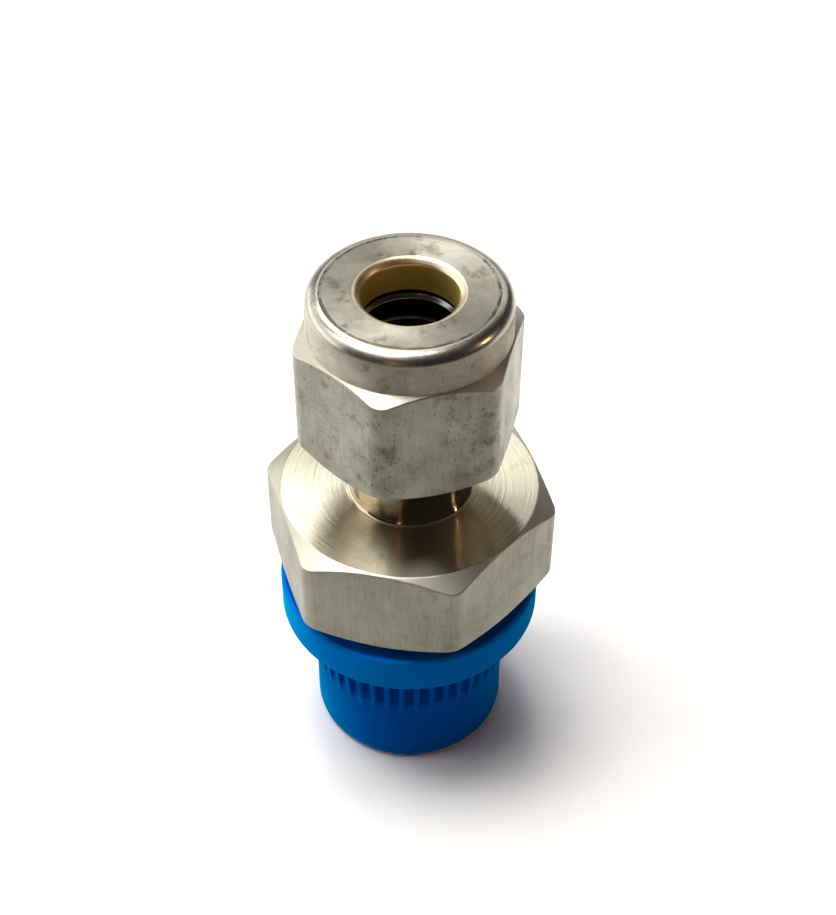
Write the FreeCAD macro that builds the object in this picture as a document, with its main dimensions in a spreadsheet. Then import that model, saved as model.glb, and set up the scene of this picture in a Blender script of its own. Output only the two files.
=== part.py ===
"""Male tube connector with twin ferrules, standing on its protective thread cap.

The turned hexagon body takes a 1/4 in tube at its upper end and a G 1/4 parallel pipe thread at
its lower end. The nut, the front ferrule and the back ferrule are nested over the tube end, and a
soft plastic cap with a gusseted flange covers the pipe thread.

Lengths are in millimetres and angles in degrees. The frame has +Z up along the common axis and
its origin on the floor, at the middle of the cap's foot.
"""

import FreeCAD, Part
import math
import os

import Sketcher

# Driving sizes. Each one can be changed by itself.
SIZES = {
    # Bores around the tube: each clearance is on the diameter.
    "tube_diameter": 6.35,
    "socket_clearance": 0.05,
    "ferrule_bore_clearance": 0.15,
    "nut_bore_clearance": 0.2,
    "flow_bore_diameter": 4.8,
    # Pipe thread end of the body, from its free end up to the hexagon.
    "pipe_thread_diameter": 13.157,
    "pipe_thread_length": 14.7,
    "pipe_thread_chamfer": 1.0,
    "flow_bore_chamfer": 0.4,
    "relief_depth": 0.93,
    "relief_width": 2.2,
    # Hexagon of the body. A step is how far a turned face or collar stays inside the flats.
    "body_hex_across_flats": 19.05,
    "body_hex_height": 7.65,
    "body_hex_corner_radius": 1.3,
    "body_face_step": 0.125,
    "hex_chamfer_angle": 30.0,
    # Neck and tube end of the body. A flare is how much wider a cone ends than its bore.
    "neck_diameter": 8.74,
    "neck_length": 5.75,
    "tube_thread_diameter": 11.11,
    "tube_thread_length": 6.6,
    "tube_thread_chamfer": 0.55,
    "mouth_flare": 0.95,
    "mouth_half_angle": 20.0,
    "socket_depth": 9.9,
    # Ferrules. The seat clearance is square to the cones that face each other, and the walls
    # and clearances are on the radius.
    "seat_clearance": 0.05,
    "ferrule_wall": 1.05,
    "ferrule_nose_wall": 0.15,
    "front_ferrule_rim": 0.44,
    "recess_flare": 0.7,
    "recess_half_angle": 45.0,
    "ferrule_gap": 0.15,
    "back_ferrule_flange": 1.15,
    "back_ferrule_bore_chamfer": 0.25,
    "back_ferrule_face_width": 0.21,
    "shoulder_half_angle": 45.0,
    # Nut, from its open lower end up to the collar.
    "nut_length": 12.19,
    "nut_hex_across_flats": 14.29,
    "nut_hex_corner_radius": 1.5,
    "nut_hex_clocking": -31.92,
    "nut_face_step": 0.145,
    "nut_thread_clearance": 0.13,
    "nut_thread_chamfer": 0.45,
    "ferrule_cavity_clearance": 0.3,
    "ferrule_cavity_depth": 0.18,
    "collar_step": 0.145,
    "collar_height": 3.0,
    "collar_rounding": 0.8,
    "nut_land_length": 2.48,
    "nut_bore_chamfer": 0.38,
    # Thread cap, from its foot up to the flange.
    "cap_floor": 1.5,
    "cap_gap": 1.16,
    "cap_wall": 0.72,
    "cap_bore_clearance": 0.16,
    "cap_foot_chamfer": 0.8,
    "cap_mouth_chamfer": 0.35,
    "flange_overhang": 0.295,
    "flange_thickness": 3.12,
    "rib_count": 42,
    "rib_width": 0.4,
    "rib_height": 6.1,
    "rib_reach": 0.72,
}

# Heights above the floor and radii that follow from the sizes, in the order they are needed.
LEVELS = {
    "socket_radius": "(Sizes.tube_diameter + Sizes.socket_clearance) / 2",
    "flow_radius": "Sizes.flow_bore_diameter / 2",
    "spigot_end": "Sizes.cap_floor",
    "spigot_radius": "Sizes.pipe_thread_diameter / 2",
    "relief_radius": "spigot_radius - Sizes.relief_depth",
    "body_hex_bottom": "spigot_end + Sizes.pipe_thread_length",
    "relief_bottom": "body_hex_bottom - Sizes.relief_width",
    "body_hex_top": "body_hex_bottom + Sizes.body_hex_height",
    "body_face_radius": "Sizes.body_hex_across_flats / 2 - Sizes.body_face_step",
    "body_corner_radius": "Sizes.body_hex_across_flats / sqrt(3)",
    "neck_radius": "Sizes.neck_diameter / 2",
    "neck_top": "body_hex_top + Sizes.neck_length",
    "tube_thread_radius": "Sizes.tube_thread_diameter / 2",
    "tube_end": "neck_top + Sizes.tube_thread_length",
    "mouth_radius": "socket_radius + Sizes.mouth_flare",
    "mouth_slope": "tan(Sizes.mouth_half_angle)",
    "mouth_bottom": "tube_end - (mouth_radius - socket_radius) / mouth_slope",
    "tube_stop": "tube_end - Sizes.socket_depth",
    # Front ferrule: its cone is the mouth's cone moved in by the seat clearance.
    "ferrule_bore_radius": "(Sizes.tube_diameter + Sizes.ferrule_bore_clearance) / 2",
    "ferrule_radius": "ferrule_bore_radius + Sizes.ferrule_wall",
    "ferrule_nose_radius": "ferrule_bore_radius + Sizes.ferrule_nose_wall",
    "ferrule_cone_offset": "Sizes.seat_clearance / cos(Sizes.mouth_half_angle)",
    "front_cone_at_end": "mouth_radius - ferrule_cone_offset",
    "front_nose": "tube_end - (front_cone_at_end - ferrule_nose_radius) / mouth_slope",
    "front_cone_top": "tube_end + (ferrule_radius - front_cone_at_end) / mouth_slope",
    "front_rear": "front_cone_top + Sizes.front_ferrule_rim",
    "recess_radius": "ferrule_bore_radius + Sizes.recess_flare",
    "recess_slope": "tan(Sizes.recess_half_angle)",
    "recess_bottom": "front_rear - (recess_radius - ferrule_bore_radius) / recess_slope",
    # Back ferrule: its nose follows the recess, its rear edge carries the nut's shoulder.
    "nose_cone_offset": "Sizes.seat_clearance / cos(Sizes.recess_half_angle)",
    "nose_cone_at_rear": "recess_radius - nose_cone_offset",
    "back_nose": "front_rear - (nose_cone_at_rear - ferrule_nose_radius) / recess_slope",
    "back_flange_bottom": "front_rear + Sizes.ferrule_gap",
    "back_nose_root_radius": "nose_cone_at_rear + Sizes.ferrule_gap * recess_slope",
    "back_rear": "back_flange_bottom + Sizes.back_ferrule_flange",
    "back_bore_mouth_radius": "ferrule_bore_radius + Sizes.back_ferrule_bore_chamfer",
    "back_bore_mouth_bottom": "back_rear - Sizes.back_ferrule_bore_chamfer",
    "back_face_radius": "back_bore_mouth_radius + Sizes.back_ferrule_face_width",
    "shoulder_slope": "tan(Sizes.shoulder_half_angle)",
    "back_edge_bottom": "back_rear - (ferrule_radius - back_face_radius) / shoulder_slope",
    # Nut: its shoulder is the back ferrule's rear edge moved out by the seat clearance.
    "nut_bore_radius": "(Sizes.tube_diameter + Sizes.nut_bore_clearance) / 2",
    "cavity_radius": "ferrule_radius + Sizes.ferrule_cavity_clearance",
    "shoulder_offset": "Sizes.seat_clearance / cos(Sizes.shoulder_half_angle)",
    "shoulder_at_rear": "back_face_radius + shoulder_offset",
    "shoulder_top": "back_rear + (shoulder_at_rear - nut_bore_radius) / shoulder_slope",
    "shoulder_bottom": "back_rear - (cavity_radius - shoulder_at_rear) / shoulder_slope",
    "nut_thread_top": "shoulder_bottom - Sizes.ferrule_cavity_depth",
    "nut_thread_radius": "(Sizes.tube_thread_diameter + Sizes.nut_thread_clearance) / 2",
    "nut_top": "shoulder_top + Sizes.nut_land_length",
    "nut_bottom": "nut_top - Sizes.nut_length",
    "collar_bottom": "nut_top - Sizes.collar_height",
    "collar_radius": "Sizes.nut_hex_across_flats / 2 - Sizes.collar_step",
    "nut_face_radius": "Sizes.nut_hex_across_flats / 2 - Sizes.nut_face_step",
    "nut_corner_radius": "Sizes.nut_hex_across_flats / sqrt(3)",
    "nut_bore_mouth_radius": "nut_bore_radius + Sizes.nut_bore_chamfer",
    "nut_bore_mouth_bottom": "nut_top - Sizes.nut_bore_chamfer",
    "chamfer_slope": "tan(Sizes.hex_chamfer_angle)",
    # Cap: a cup around the pipe thread, with a flange and ribs under it.
    "cap_bore_radius": "(Sizes.pipe_thread_diameter + Sizes.cap_bore_clearance) / 2",
    "cap_cup_radius": "cap_bore_radius + Sizes.cap_wall",
    "cap_top": "body_hex_bottom - Sizes.cap_gap",
    "flange_radius": "Sizes.body_hex_across_flats / 2 + Sizes.flange_overhang",
    "flange_bottom": "cap_top - Sizes.flange_thickness",
    "rib_bottom": "flange_bottom - Sizes.rib_height",
    "rib_root_radius": "(cap_bore_radius + cap_cup_radius) / 2",
    "rib_tip_radius": "cap_cup_radius + Sizes.rib_reach",
}

FULL_TURN = 360.0
HEX_SIDES = 6
AXIS = "0"
ORIGIN = (-1, 1)
HORIZONTAL_AXIS, VERTICAL_AXIS = -1, -2
START, END, CENTRE = 1, 2, 3
TOUCH = 1e-6


def fill_sheet(doc, name, cells):
    """Make a spreadsheet with one named cell per row and what it is called beside it."""
    sheet = doc.addObject("Spreadsheet::Sheet", name)
    for row, (alias, content) in enumerate(cells.items(), start=1):
        sheet.set(f"A{row}", alias)
        sheet.set(f"B{row}", content)
        sheet.setAlias(f"B{row}", alias)
    return sheet


def origin_part(body, role):
    """Return one of the body's own origin planes or axes, found by its role."""
    return next(part for part in body.Origin.OriginFeatures if part.Role == role)


def new_sketch(body, name, plane):
    """Return an empty sketch on one of the body's origin planes."""
    sketch = body.newObject("Sketcher::SketchObject", name)
    sketch.AttachmentSupport = (origin_part(body, plane), [""])
    sketch.MapMode = "FlatFace"
    return sketch


def constrain(sketch, kind, *places, expression=None):
    """Add one constraint, bound to an expression where it is a measure."""
    if expression is None:
        sketch.addConstraint(Sketcher.Constraint(kind, *places))
        return
    value = float(sketch.evalExpression(expression))
    number = sketch.addConstraint(Sketcher.Constraint(kind, *places, value))
    sketch.setExpression(f"Constraints[{number}]", expression)


def profile(body, name, corners):
    """Draw a closed outline in the plane of the axis, fully constrained.

    Each corner is a pair of expressions, its radius and its height. AXIS in either place puts
    the corner on that axis of the sketch.
    """
    sketch = new_sketch(body, name, "XZ_Plane")
    points = [
        FreeCAD.Vector(*(float(sketch.evalExpression(part)) for part in corner), 0)
        for corner in corners
    ]
    for number, point in enumerate(points):
        sketch.addGeometry(Part.LineSegment(point, points[(number + 1) % len(points)]))
    for number, (radius, height) in enumerate(corners):
        constrain(sketch, "Coincident", number, END, (number + 1) % len(corners), START)
        if radius == AXIS:
            constrain(sketch, "PointOnObject", number, START, VERTICAL_AXIS)
        else:
            constrain(sketch, "DistanceX", *ORIGIN, number, START, expression=radius)
        if height == AXIS:
            constrain(sketch, "PointOnObject", number, START, HORIZONTAL_AXIS)
        else:
            constrain(sketch, "DistanceY", *ORIGIN, number, START, expression=height)
    return sketch


def turn(body, kind, name, corners):
    """Revolve an outline a full turn about the axis, as a Revolution or a Groove."""
    sketch = profile(body, name + "Profile", corners)
    feature = body.newObject("PartDesign::" + kind, name)
    feature.Profile = sketch
    feature.ReferenceAxis = (sketch, ["V_Axis"])
    feature.Angle = FULL_TURN
    return feature


def hexagon_bar(body, name, corner_radius, bottom, length, clocking=None):
    """Pad a regular hexagon with its first corner at -Y, turned by the clocking angle."""
    sketch = new_sketch(body, name + "Outline", "XY_Plane")
    sketch.AttachmentOffset = FreeCAD.Placement(FreeCAD.Vector(), FreeCAD.Rotation(FreeCAD.Vector(0, 0, 1), 0))
    sketch.setExpression("AttachmentOffset.Base.z", bottom)
    if clocking is not None:
        sketch.setExpression("AttachmentOffset.Rotation.Angle", clocking)
    radius = float(sketch.evalExpression(corner_radius))
    angles = [math.radians(FULL_TURN * side / HEX_SIDES) - math.pi / 2 for side in range(HEX_SIDES)]
    points = [FreeCAD.Vector(radius * math.cos(angle), radius * math.sin(angle), 0) for angle in angles]
    for side, point in enumerate(points):
        sketch.addGeometry(Part.LineSegment(point, points[(side + 1) % HEX_SIDES]))
    circle = sketch.addGeometry(Part.Circle(FreeCAD.Vector(), FreeCAD.Vector(0, 0, 1), radius), True)
    constrain(sketch, "Coincident", circle, CENTRE, *ORIGIN)
    constrain(sketch, "Radius", circle, expression=corner_radius)
    constrain(sketch, "PointOnObject", 0, START, VERTICAL_AXIS)
    for side in range(HEX_SIDES):
        constrain(sketch, "Coincident", side, END, (side + 1) % HEX_SIDES, START)
        constrain(sketch, "PointOnObject", side, START, circle)
        if side > 0:
            constrain(sketch, "Equal", 0, side)
    bar = body.newObject("PartDesign::Pad", name)
    bar.Profile = sketch
    bar.setExpression("Length", length)
    return bar


def fillet(body, name, base, chosen, radius):
    """Round those edges of the last feature that the test picks out."""
    body.Document.recompute()
    edges = [f"Edge{number}" for number, edge in enumerate(base.Shape.Edges, start=1) if chosen(edge)]
    feature = body.newObject("PartDesign::Fillet", name)
    feature.Base = (base, edges)
    feature.setExpression("Radius", radius)
    return feature


def upright(edge):
    """Tell whether an edge is a straight line along Z."""
    low, high = edge.Vertexes[0].Point, edge.Vertexes[-1].Point
    return isinstance(edge.Curve, Part.Line) and math.hypot(high.x - low.x, high.y - low.y) < TOUCH


def ring(doc, radius, height):
    """Return a test for the circular edge that has this radius and lies at this height."""
    wanted = float(doc.Levels.evalExpression(radius))
    level = float(doc.Levels.evalExpression(height))

    def test(edge):
        """Compare one edge with the wanted circle."""
        if not isinstance(edge.Curve, Part.Circle):
            return False
        flat = abs(edge.Curve.Center.z - level) < TOUCH
        return flat and abs(edge.Curve.Radius - wanted) < TOUCH and abs(edge.BoundBox.ZLength) < TOUCH

    return test


def turned_hexagon(body, name, corner, face, bottom, height, corner_fillet, clocking=None):
    """Make a hexagon with rounded corners and a turned chamfer at both ends.

    The chamfer is a cone that starts at the circle of the flat end face, so it bites deepest
    at the corners and leaves the curved line of a turned hexagon on each flat.
    """
    bar = hexagon_bar(body, name, corner, bottom, height, clocking)
    rounded = fillet(body, name + "Corners", bar, upright, corner_fillet)
    top = f"{bottom} + {height}"
    reach = f"({corner} - {face}) * Levels.chamfer_slope"
    turn(body, "Groove", name + "TopChamfer", [
        (face, top),
        (corner, f"{top} - {reach}"),
        (f"{corner} + {reach}", f"{top} - {reach}"),
        (f"{corner} + {reach}", f"{top} + {reach}"),
        (face, f"{top} + {reach}"),
    ])
    turn(body, "Groove", name + "BottomChamfer", [
        (face, bottom),
        (face, f"{bottom} - {reach}"),
        (f"{corner} + {reach}", f"{bottom} - {reach}"),
        (f"{corner} + {reach}", f"{bottom} + {reach}"),
        (corner, f"{bottom} + {reach}"),
    ])
    return rounded


def make_fitting_body(doc):
    """Turn the body from hexagon bar: pipe thread end, hexagon, neck and tube end."""
    body = doc.addObject("PartDesign::Body", "fitting_body")
    turned_hexagon(
        body, "BodyHexagon", "Levels.body_corner_radius", "Levels.body_face_radius",
        "Levels.body_hex_bottom", "Sizes.body_hex_height", "Sizes.body_hex_corner_radius",
    )
    turn(body, "Revolution", "PipeThreadEnd", [
        (AXIS, "Levels.spigot_end"),
        ("Levels.spigot_radius - Sizes.pipe_thread_chamfer", "Levels.spigot_end"),
        ("Levels.spigot_radius", "Levels.spigot_end + Sizes.pipe_thread_chamfer"),
        ("Levels.spigot_radius", "Levels.relief_bottom - Levels.spigot_radius + Levels.relief_radius"),
        ("Levels.relief_radius", "Levels.relief_bottom"),
        ("Levels.relief_radius", "Levels.body_hex_bottom"),
        (AXIS, "Levels.body_hex_bottom"),
    ])
    turn(body, "Revolution", "NeckAndTubeEnd", [
        (AXIS, "Levels.body_hex_top"),
        ("Levels.neck_radius", "Levels.body_hex_top"),
        ("Levels.neck_radius", "Levels.neck_top"),
        ("Levels.tube_thread_radius - Sizes.tube_thread_chamfer", "Levels.neck_top"),
        ("Levels.tube_thread_radius", "Levels.neck_top + Sizes.tube_thread_chamfer"),
        ("Levels.tube_thread_radius", "Levels.tube_end - Sizes.tube_thread_chamfer"),
        ("Levels.tube_thread_radius - Sizes.tube_thread_chamfer", "Levels.tube_end"),
        (AXIS, "Levels.tube_end"),
    ])
    turn(body, "Groove", "BoreSocketAndMouth", [
        (AXIS, "Levels.spigot_end"),
        ("Levels.flow_radius + Sizes.flow_bore_chamfer", "Levels.spigot_end"),
        ("Levels.flow_radius", "Levels.spigot_end + Sizes.flow_bore_chamfer"),
        ("Levels.flow_radius", "Levels.tube_stop"),
        ("Levels.socket_radius", "Levels.tube_stop"),
        ("Levels.socket_radius", "Levels.mouth_bottom"),
        ("Levels.mouth_radius", "Levels.tube_end"),
        (AXIS, "Levels.tube_end"),
    ])
    return body


def make_front_ferrule(doc):
    """Turn the front ferrule: a cone for the body's mouth and a recess for the back ferrule."""
    body = doc.addObject("PartDesign::Body", "front_ferrule")
    turn(body, "Revolution", "FrontFerrule", [
        ("Levels.ferrule_bore_radius", "Levels.front_nose"),
        ("Levels.ferrule_nose_radius", "Levels.front_nose"),
        ("Levels.ferrule_radius", "Levels.front_cone_top"),
        ("Levels.ferrule_radius", "Levels.front_rear"),
        ("Levels.recess_radius", "Levels.front_rear"),
        ("Levels.ferrule_bore_radius", "Levels.recess_bottom"),
    ])
    return body


def make_back_ferrule(doc):
    """Turn the back ferrule: a nose for the recess and a flange that the nut pushes on."""
    body = doc.addObject("PartDesign::Body", "back_ferrule")
    turn(body, "Revolution", "BackFerrule", [
        ("Levels.ferrule_bore_radius", "Levels.back_nose"),
        ("Levels.ferrule_nose_radius", "Levels.back_nose"),
        ("Levels.back_nose_root_radius", "Levels.back_flange_bottom"),
        ("Levels.ferrule_radius", "Levels.back_flange_bottom"),
        ("Levels.ferrule_radius", "Levels.back_edge_bottom"),
        ("Levels.back_face_radius", "Levels.back_rear"),
        ("Levels.back_bore_mouth_radius", "Levels.back_rear"),
        ("Levels.ferrule_bore_radius", "Levels.back_bore_mouth_bottom"),
    ])
    return body


def make_nut(doc):
    """Turn the nut from hexagon bar: collar, tube bore, ferrule shoulder and thread bore."""
    body = doc.addObject("PartDesign::Body", "nut")
    turned_hexagon(
        body, "NutHexagon", "Levels.nut_corner_radius", "Levels.nut_face_radius",
        "Levels.nut_bottom", "(Sizes.nut_length - Sizes.collar_height)",
        "Sizes.nut_hex_corner_radius", "Sizes.nut_hex_clocking",
    )
    collar = turn(body, "Revolution", "Collar", [
        (AXIS, "Levels.collar_bottom"),
        ("Levels.collar_radius", "Levels.collar_bottom"),
        ("Levels.collar_radius", "Levels.nut_top"),
        (AXIS, "Levels.nut_top"),
    ])
    collar_edge = ring(doc, "Levels.collar_radius", "Levels.nut_top")
    fillet(body, "CollarEdge", collar, collar_edge, "Sizes.collar_rounding")
    turn(body, "Groove", "BoreShoulderAndThread", [
        (AXIS, "Levels.nut_bottom"),
        ("Levels.nut_thread_radius + Sizes.nut_thread_chamfer", "Levels.nut_bottom"),
        ("Levels.nut_thread_radius", "Levels.nut_bottom + Sizes.nut_thread_chamfer"),
        ("Levels.nut_thread_radius", "Levels.nut_thread_top"),
        ("Levels.cavity_radius", "Levels.nut_thread_top"),
        ("Levels.cavity_radius", "Levels.shoulder_bottom"),
        ("Levels.nut_bore_radius", "Levels.shoulder_top"),
        ("Levels.nut_bore_radius", "Levels.nut_bore_mouth_bottom"),
        ("Levels.nut_bore_mouth_radius", "Levels.nut_top"),
        (AXIS, "Levels.nut_top"),
    ])
    return body


def make_thread_cap(doc):
    """Mould the cap: a cup with a flange, and ribs that brace the flange from below."""
    body = doc.addObject("PartDesign::Body", "thread_cap")
    turn(body, "Revolution", "CupAndFlange", [
        (AXIS, AXIS),
        ("Levels.cap_cup_radius - Sizes.cap_foot_chamfer", AXIS),
        ("Levels.cap_cup_radius", "Sizes.cap_foot_chamfer"),
        ("Levels.cap_cup_radius", "Levels.flange_bottom"),
        ("Levels.flange_radius", "Levels.flange_bottom"),
        ("Levels.flange_radius", "Levels.cap_top"),
        ("Levels.cap_bore_radius + Sizes.cap_mouth_chamfer", "Levels.cap_top"),
        ("Levels.cap_bore_radius", "Levels.cap_top - Sizes.cap_mouth_chamfer"),
        ("Levels.cap_bore_radius", "Sizes.cap_floor"),
        (AXIS, "Sizes.cap_floor"),
    ])
    rib = body.newObject("PartDesign::Pad", "Rib")
    rib.Profile = profile(body, "RibProfile", [
        ("Levels.rib_root_radius", "Levels.rib_bottom"),
        ("Levels.cap_cup_radius", "Levels.rib_bottom"),
        ("Levels.rib_tip_radius", "Levels.flange_bottom"),
        ("Levels.rib_root_radius", "Levels.flange_bottom"),
    ])
    rib.Midplane = True
    rib.setExpression("Length", "Sizes.rib_width")
    ribs = body.newObject("PartDesign::PolarPattern", "Ribs")
    ribs.Originals = [rib]
    ribs.Axis = (origin_part(body, "Z_Axis"), [""])
    ribs.Angle = FULL_TURN
    ribs.setExpression("Occurrences", "Sizes.rib_count")
    body.Tip = ribs
    return body


def check(doc, pieces):
    """Stop if an object failed, a cut removed nothing or a piece isn't one valid solid."""
    for item in doc.Objects:
        if {"Invalid", "Error"} & set(item.State):
            raise RuntimeError(f"{item.Name} failed: {item.State}")
        if item.TypeId == "Sketcher::SketchObject" and item.solve() != 0:
            raise RuntimeError(f"sketch {item.Name} isn't solved")
        if item.TypeId == "PartDesign::Groove":
            if item.Shape.Volume >= item.BaseFeature.Shape.Volume - TOUCH:
                raise RuntimeError(f"{item.Name} cuts nothing")
    for piece in pieces:
        shape = piece.Shape
        if shape.isNull() or not shape.isValid() or len(shape.Solids) != 1:
            raise RuntimeError(f"{piece.Label} isn't one valid solid")


def main():
    """Build the document, check it and write one STEP file for each piece."""
    doc = FreeCAD.newDocument("MaleTubeConnector")
    fill_sheet(doc, "Sizes", {alias: str(value) for alias, value in SIZES.items()})
    fill_sheet(doc, "Levels", {alias: "=" + formula for alias, formula in LEVELS.items()})
    doc.recompute()
    makers = (make_thread_cap, make_fitting_body, make_front_ferrule, make_back_ferrule, make_nut)
    pieces = [make(doc) for make in makers]
    doc.recompute()
    check(doc, pieces)
    os.makedirs("parts", exist_ok=True)
    for piece in pieces:
        piece.Shape.exportStep(f"parts/{piece.Label}.step")
        print(f"{piece.Label}: {piece.Shape.Volume:.1f} mm3, {len(piece.Shape.Faces)} faces")


main()
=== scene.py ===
"""Looks of a male tube connector that stands on its blue thread cap.

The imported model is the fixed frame. Every piece of it is replaced by a finer surface of the same
size: hexagons with turned chamfers and softened edges, real helical threads, conical seats and a
ribbed cap. Sizes in the classes are in millimetres, and meshes are in metres.
"""

import logging
import math
from dataclasses import dataclass, field
from enum import Enum

import bpy
import numpy as np
from mathutils import Matrix, Vector

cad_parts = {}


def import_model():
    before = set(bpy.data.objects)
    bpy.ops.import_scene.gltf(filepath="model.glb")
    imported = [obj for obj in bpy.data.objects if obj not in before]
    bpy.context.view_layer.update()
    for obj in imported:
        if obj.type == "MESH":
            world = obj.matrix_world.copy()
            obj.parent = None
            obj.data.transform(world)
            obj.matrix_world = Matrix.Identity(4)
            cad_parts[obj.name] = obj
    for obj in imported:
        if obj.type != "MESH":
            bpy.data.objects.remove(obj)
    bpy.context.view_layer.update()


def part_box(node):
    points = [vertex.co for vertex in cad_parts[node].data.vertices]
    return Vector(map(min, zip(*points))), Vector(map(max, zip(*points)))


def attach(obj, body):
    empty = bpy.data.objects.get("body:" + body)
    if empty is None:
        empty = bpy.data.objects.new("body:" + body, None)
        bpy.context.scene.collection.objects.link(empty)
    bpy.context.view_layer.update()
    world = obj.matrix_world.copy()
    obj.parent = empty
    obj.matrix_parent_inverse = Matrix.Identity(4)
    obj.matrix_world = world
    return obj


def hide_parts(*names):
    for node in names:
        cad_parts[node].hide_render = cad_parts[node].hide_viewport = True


LOG = logging.getLogger("tube_connector")
MM = 0.001
TAU = 2 * math.pi
HEX_SIDES = 6
HALF_SIDE = math.pi / HEX_SIDES
LAMP_AIM = (0.0, 0.0, 25.0)
# A softening takes at most this share of its shorter side, and its guard row lies this much further.
LONGEST_SOFT = 0.42
GUARD = 1.15
# A face counts as upright below this share of its normal along the axis, and as level above that one.
UPRIGHT = 0.25
LEVEL = 0.99
# Tolerances in millimetres, for telling which surface a face is on.
HAIR = 0.02
CLOSE = 0.05
NEAR = 0.1
# Lengths below the first are taken as none, and lengths that differ by less than the second as equal.
TINY = 1e-9
SAME = 1e-6
RING_COLUMNS = 128
NUT_CLOCKING = math.radians(-90 - 31.92)


# Surfaces


@dataclass(frozen=True)
class Corner:
    """One corner of an outline that is carried round the axis.

    Radius and height are numbers, or arrays with one value for each angle. The softening is how
    far the corner's rounding reaches along both sides, and rows is how many extra rows of points
    the side after this corner gets.
    """

    radius: float | np.ndarray
    height: float | np.ndarray
    soft: float = 0.05
    rows: int = 0


@dataclass(frozen=True)
class Thread:
    """A right-handed screw thread with one start.

    The share is the part of the pitch that the flat crest takes, and the root takes the same.
    """

    crest_radius: float
    depth: float
    pitch: float
    share: float = 0.14

    def radius(self, angles: np.ndarray, heights: np.ndarray) -> np.ndarray:
        """Radius of the thread's surface.

        The height in pitches, less the angle in turns, is the place across the thread. Its
        distance from the nearest whole number is 0 on a crest and a half in a root, and a smooth
        step between the two flats gives the flank.

        Args:
            angles: angle of each column of points, in radians.
            heights: height of each point, in millimetres, one column for each angle.

        Returns:
            The radius of each point, in millimetres.
        """
        place = heights / self.pitch - angles / TAU
        distance = np.abs(place - np.round(place))
        flank = np.clip((distance - self.share / 2) / (0.5 - self.share), 0, 1)
        return self.crest_radius - self.depth * flank * flank * (3 - 2 * flank)


@dataclass(frozen=True)
class Hexagon:
    """A hexagon with rounded corners, its first corner at the clocking angle."""

    across_flats: float
    corner_radius: float
    clocking: float = -math.pi / 2
    corner_columns: int = 9
    flat_columns: int = 22

    @property
    def apothem(self) -> float:
        """Distance from the axis to a flat."""
        return self.across_flats / 2

    @property
    def centre(self) -> float:
        """Distance from the axis to the centre of a corner's rounding."""
        return (self.apothem - self.corner_radius) / math.cos(HALF_SIDE)

    @property
    def rounding_ends(self) -> float:
        """Angle from a corner at which its rounding runs into the flat."""
        return math.atan2(
            self.corner_radius * math.sin(HALF_SIDE),
            self.centre + self.corner_radius * math.cos(HALF_SIDE),
        )

    def angles(self) -> np.ndarray:
        """Angles of the columns: close together on the corners, and wider on the flats.

        Returns:
            The angles, in radians.
        """
        end = self.rounding_ends
        margin = 0.06 * end
        corner = np.linspace(-end, end, self.corner_columns)
        flat = np.linspace(end + margin, 2 * HALF_SIDE - end - margin, self.flat_columns)
        sector = np.concatenate([corner, flat])
        starts = self.clocking + 2 * HALF_SIDE * np.arange(HEX_SIDES)
        return (starts[:, None] + sector[None, :]).ravel()

    def radius(self, angles: np.ndarray) -> np.ndarray:
        """Radius of the hexagon: on a flat the apothem over the cosine of the angle from the
        flat's middle, and near a corner the far crossing of the ray with the corner's circle.

        Args:
            angles: angle of each column of points, in radians.

        Returns:
            The radius at each angle, in millimetres.
        """
        off = (angles - self.clocking + HALF_SIDE) % (2 * HALF_SIDE) - HALF_SIDE
        flat = self.apothem / np.cos(HALF_SIDE - np.abs(off))
        inside = np.maximum(self.corner_radius**2 - (self.centre * np.sin(off)) ** 2, 0)
        rounded = self.centre * np.cos(off) + np.sqrt(inside)
        return np.where(np.abs(off) < self.rounding_ends, rounded, flat)


def round_angles(columns: int) -> np.ndarray:
    """Evenly spaced angles for a piece that is round all over."""
    return np.linspace(0, TAU, columns, endpoint=False)


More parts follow.
